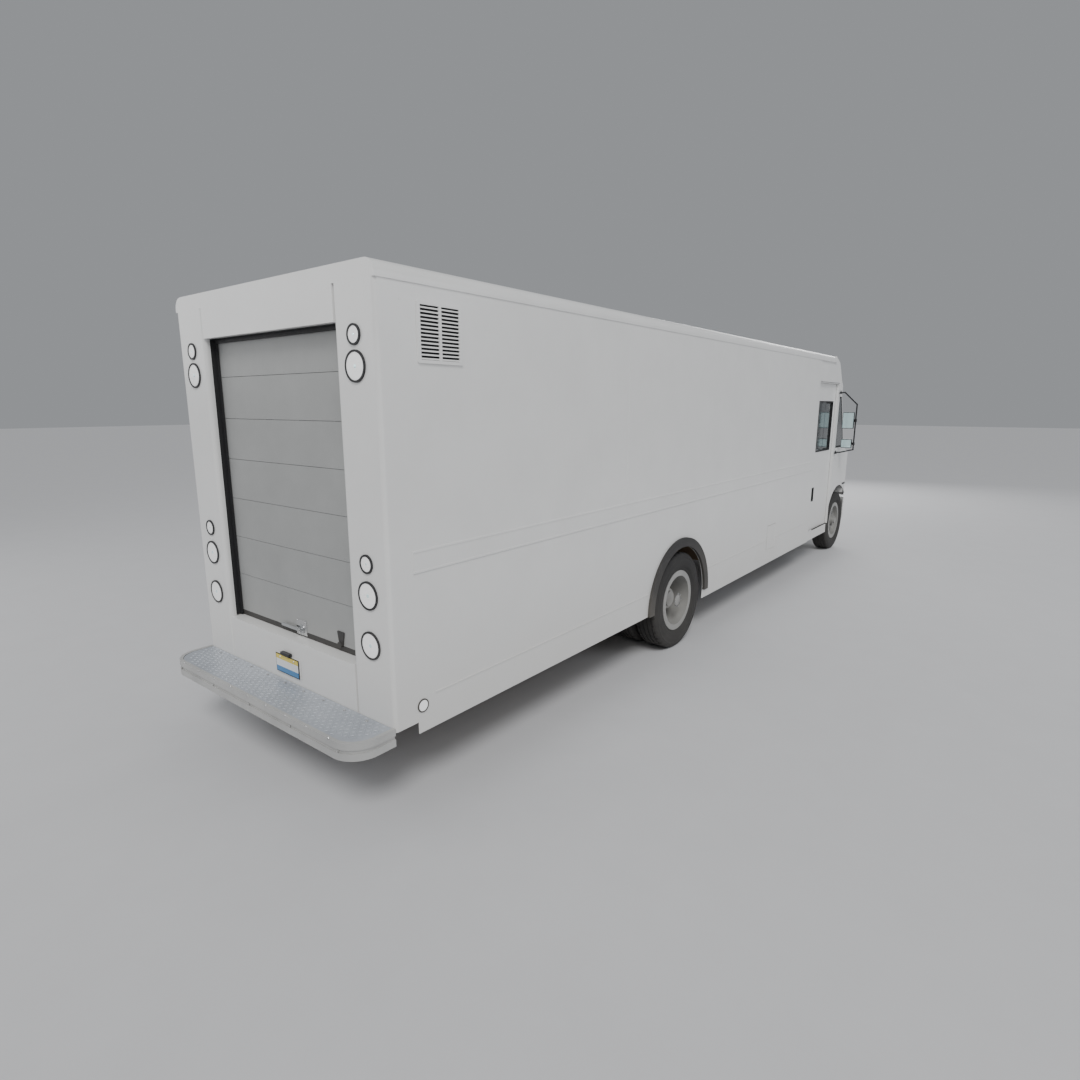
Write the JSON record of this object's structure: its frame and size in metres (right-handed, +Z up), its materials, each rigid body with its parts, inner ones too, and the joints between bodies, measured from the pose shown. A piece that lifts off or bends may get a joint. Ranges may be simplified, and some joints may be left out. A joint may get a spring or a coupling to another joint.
{
  "type": "mail delivery truck",
  "caption": "Walk-in step van with a long box body, roll-up rear door, sliding cab doors, step bumper and dual rear wheels.",
  "frame": {"origin": "centre of the overall plan on the ground under the tyres", "axes": "+Y towards the rear door, +X towards the driver side (left) of the truck, +Z up"},
  "size_m": [2.9, 11.43, 3.425],
  "materials": {
    "body_white": "gloss white paint",
    "door_grey": "satin light grey paint",
    "chassis_black": "satin black chassis paint",
    "cast_grey": "painted cast iron, matt",
    "radiator_black": "matt black fins",
    "exhaust_steel": "heat-dulled steel",
    "floor_boards": "worn hardwood boards",
    "shelf_steel": "satin grey paint",
    "tank_aluminium": "dull aluminium",
    "cab_liner": "matt grained dark grey",
    "interior_light": "satin light grey paint",
    "glass_dark": "dark tinted glass",
    "seat_vinyl": "grained black vinyl",
    "black_plastic": "satin black",
    "bumper_steel": "weathered dull metal",
    "tread_aluminium": "checker plate, worn",
    "flare_rubber": "matt black",
    "lens_white": "white ribbed lens",
    "galvanised": "zinc plated",
    "tyre": "matt black rubber",
    "rim_grey": "dusty grey steel"
  },
  "bodies": {
    "truck": {"frame_rails": "chassis_black", "front_axle": "chassis_black", "rear_axle": "chassis_black", "leaf_springs": "chassis_black", "engine": "cast_grey", "gearbox": "cast_grey", "radiator": "radiator_black", "fuel_tank": "tank_aluminium", "exhaust": "exhaust_steel", "cargo_floor": "floor_boards", "cab_floor": "cab_liner", "side_wall_left": "body_white", "side_wall_right": "body_white", "roof": "body_white", "rear_frame": "body_white", "bulkhead": "interior_light", "shelves": "shelf_steel", "cab_shell": "body_white", "windshield": "glass_dark", "dashboard": "cab_liner", "front_bumper": "body_white", "rear_bumper": "bumper_steel", "tread_plate": "tread_aluminium", "wheel_flares": "flare_rubber", "side_vents": "body_white", "lamp_bezels": "flare_rubber", "lamp_lenses": "lens_white", "door_tracks": "galvanised"},
    "driveshaft": {"driveshaft": "chassis_black"},
    "wheels_rear_left": {"tyres_rear_left": "tyre", "rims_rear_left": "rim_grey"},
    "wheels_rear_right": {"tyres_rear_right": "tyre", "rims_rear_right": "rim_grey"},
    "knuckle_left": {"knuckle_left": "chassis_black"},
    "knuckle_right": {"knuckle_right": "chassis_black"},
    "wheel_front_left": {"tyre_front_left": "tyre", "rim_front_left": "rim_grey"},
    "wheel_front_right": {"tyre_front_right": "tyre", "rim_front_right": "rim_grey"},
    "door_crank": {"rear_door_sheaves": "galvanised"},
    "rear_door": {"rear_door_panels": "door_grey", "rear_door_hardware": "flare_rubber"},
    "rear_latch": {"rear_latch": "galvanised"},
    "bulkhead_door": {"bulkhead_door": "interior_light"},
    "cab_door_left": {"cab_door_left": "body_white"},
    "cab_door_right": {"cab_door_right": "body_white"},
    "window_left": {"window_left": "glass_dark"},
    "window_right": {"window_right": "glass_dark"},
    "driver_seat": {"driver_seat": "seat_vinyl"},
    "steering_wheel": {"steering_wheel": "black_plastic"},
    "brake_pedal": {"brake_pedal": "black_plastic"},
    "accelerator_pedal": {"accelerator_pedal": "black_plastic"},
    "hood": {"hood": "body_white"},
    "fuel_door": {"fuel_door": "body_white"},
    "wiper_left": {"wiper_left": "black_plastic"},
    "wiper_right": {"wiper_right": "black_plastic"},
    "mirror_arm_left": {"mirror_arm_left": "black_plastic"},
    "mirror_arm_right": {"mirror_arm_right": "black_plastic"},
    "mirror_head_left": {"mirror_head_left": "black_plastic"},
    "mirror_head_right": {"mirror_head_right": "black_plastic"}
  },
  "joints": [
    {"name": "driveshaft_spin", "type": "hinge", "parent": "truck", "child": "driveshaft", "pos_m": [0, 0, 0.53], "axis": [0, 1, 0], "continuous": true},
    {"name": "wheels_rear_left_roll", "type": "hinge", "parent": "truck", "child": "wheels_rear_left", "pos_m": [0.898, 1.445, 0.53], "axis": [1, 0, 0], "continuous": true},
    {"name": "wheels_rear_right_roll", "type": "hinge", "parent": "truck", "child": "wheels_rear_right", "pos_m": [-0.898, 1.445, 0.53], "axis": [1, 0, 0], "continuous": true},
    {"name": "steer_left", "type": "hinge", "parent": "truck", "child": "knuckle_left", "pos_m": [0.826, -4.995, 0.53], "axis": [0, 0, 1], "range_deg": [-30, 30]},
    {"name": "steer_right", "type": "hinge", "parent": "truck", "child": "knuckle_right", "pos_m": [-0.826, -4.995, 0.53], "axis": [0, 0, 1], "range_deg": [-30, 30]},
    {"name": "wheel_front_left_roll", "type": "hinge", "parent": "knuckle_left", "child": "wheel_front_left", "pos_m": [1.0285, -4.995, 0.53], "axis": [1, 0, 0], "continuous": true},
    {"name": "wheel_front_right_roll", "type": "hinge", "parent": "knuckle_right", "child": "wheel_front_right", "pos_m": [-1.0285, -4.995, 0.53], "axis": [1, 0, 0], "continuous": true},
    {"name": "steering_wheel_turn", "type": "hinge", "parent": "truck", "child": "steering_wheel", "pos_m": [0.56, -4.055, 1.72], "axis": [0, 0.5, 0.866], "range_deg": [-480, 480]},
    {"name": "rear_door_crank", "type": "hinge", "parent": "truck", "child": "door_crank", "pos_m": [0, 5.275, 3.214], "axis": [-1, 0, 0], "range_deg": [0, 90]},
    {"name": "rear_door_lift", "type": "hinge", "parent": "door_crank", "child": "rear_door", "pos_m": [0, 5.275, 2.1125], "axis": [1, 0, 0], "range_deg": [0, 180]},
    {"name": "rear_latch_turn", "type": "hinge", "parent": "rear_door", "child": "rear_latch", "pos_m": [-0.06, 5.275, 1.022], "axis": [0, -1, 0], "range_deg": [0, 90]},
    {"name": "bulkhead_door_slide", "type": "slide", "parent": "truck", "child": "bulkhead_door", "axis": [1, 0, 0], "range_m": [0, 0.68]},
    {"name": "cab_door_left_slide", "type": "slide", "parent": "truck", "child": "cab_door_left", "axis": [0, 1, 0], "range_m": [0, 1.05]},
    {"name": "cab_door_right_slide", "type": "slide", "parent": "truck", "child": "cab_door_right", "axis": [0, 1, 0], "range_m": [0, 1.05]},
    {"name": "window_left_slide", "type": "slide", "parent": "cab_door_left", "child": "window_left", "axis": [0, 1, 0], "range_m": [0, 0.37]},
    {"name": "window_right_slide", "type": "slide", "parent": "cab_door_right", "child": "window_right", "axis": [0, 1, 0], "range_m": [0, 0.37]},
    {"name": "driver_seat_slide", "type": "slide", "parent": "truck", "child": "driver_seat", "axis": [0, 1, 0], "range_m": [-0.1, 0.1]},
    {"name": "brake_pedal_press", "type": "hinge", "parent": "truck", "child": "brake_pedal", "pos_m": [0.525, -4.249, 1.2], "axis": [-1, 0, 0], "range_deg": [0, 12], "stiffness_Nm_per_rad": 40},
    {"name": "accelerator_pedal_press", "type": "hinge", "parent": "truck", "child": "accelerator_pedal", "pos_m": [0.395, -4.249, 1.2], "axis": [-1, 0, 0], "range_deg": [0, 12], "stiffness_Nm_per_rad": 20},
    {"name": "hood_lift", "type": "hinge", "parent": "truck", "child": "hood", "pos_m": [0, -5.225, 1.83139], "axis": [-1, 0, 0], "range_deg": [0, 60]},
    {"name": "fuel_door_turn", "type": "hinge", "parent": "truck", "child": "fuel_door", "pos_m": [-1.195, -1.5885, 0.79], "axis": [0, 0, 1], "range_deg": [0, 110]},
    {"name": "wiper_left_sweep", "type": "hinge", "parent": "truck", "child": "wiper_left", "pos_m": [0.86, -5.091, 1.88], "axis": [0, 0.9105, -0.4134], "range_deg": [0, 80]},
    {"name": "wiper_right_sweep", "type": "hinge", "parent": "truck", "child": "wiper_right", "pos_m": [-0.06, -5.091, 1.88], "axis": [0, 0.9105, -0.4134], "range_deg": [0, 80]},
    {"name": "mirror_arm_left_fold", "type": "hinge", "parent": "truck", "child": "mirror_arm_left", "pos_m": [1.204, -4.485, 2.341], "axis": [0, 0, 1], "range_deg": [0, 60]},
    {"name": "mirror_head_left_aim", "type": "hinge", "parent": "mirror_arm_left", "child": "mirror_head_left", "pos_m": [1.43, -4.715, 2.25], "axis": [0, 0, 1], "range_deg": [-15, 15]},
    {"name": "mirror_arm_right_fold", "type": "hinge", "parent": "truck", "child": "mirror_arm_right", "pos_m": [-1.204, -4.485, 2.341], "axis": [0, 0, -1], "range_deg": [0, 60]},
    {"name": "mirror_head_right_aim", "type": "hinge", "parent": "mirror_arm_right", "child": "mirror_head_right", "pos_m": [-1.43, -4.715, 2.25], "axis": [0, 0, -1], "range_deg": [-15, 15]}
  ],
  "couplings": [
    {"joint": "steer_right", "follows": "steer_left", "ratio": 1},
    {"joint": "steering_wheel_turn", "follows": "steer_left", "ratio": 16},
    {"joint": "rear_door_lift", "follows": "rear_door_crank", "ratio": 2},
    {"joint": "wiper_right_sweep", "follows": "wiper_left_sweep", "ratio": 1}
  ]
}
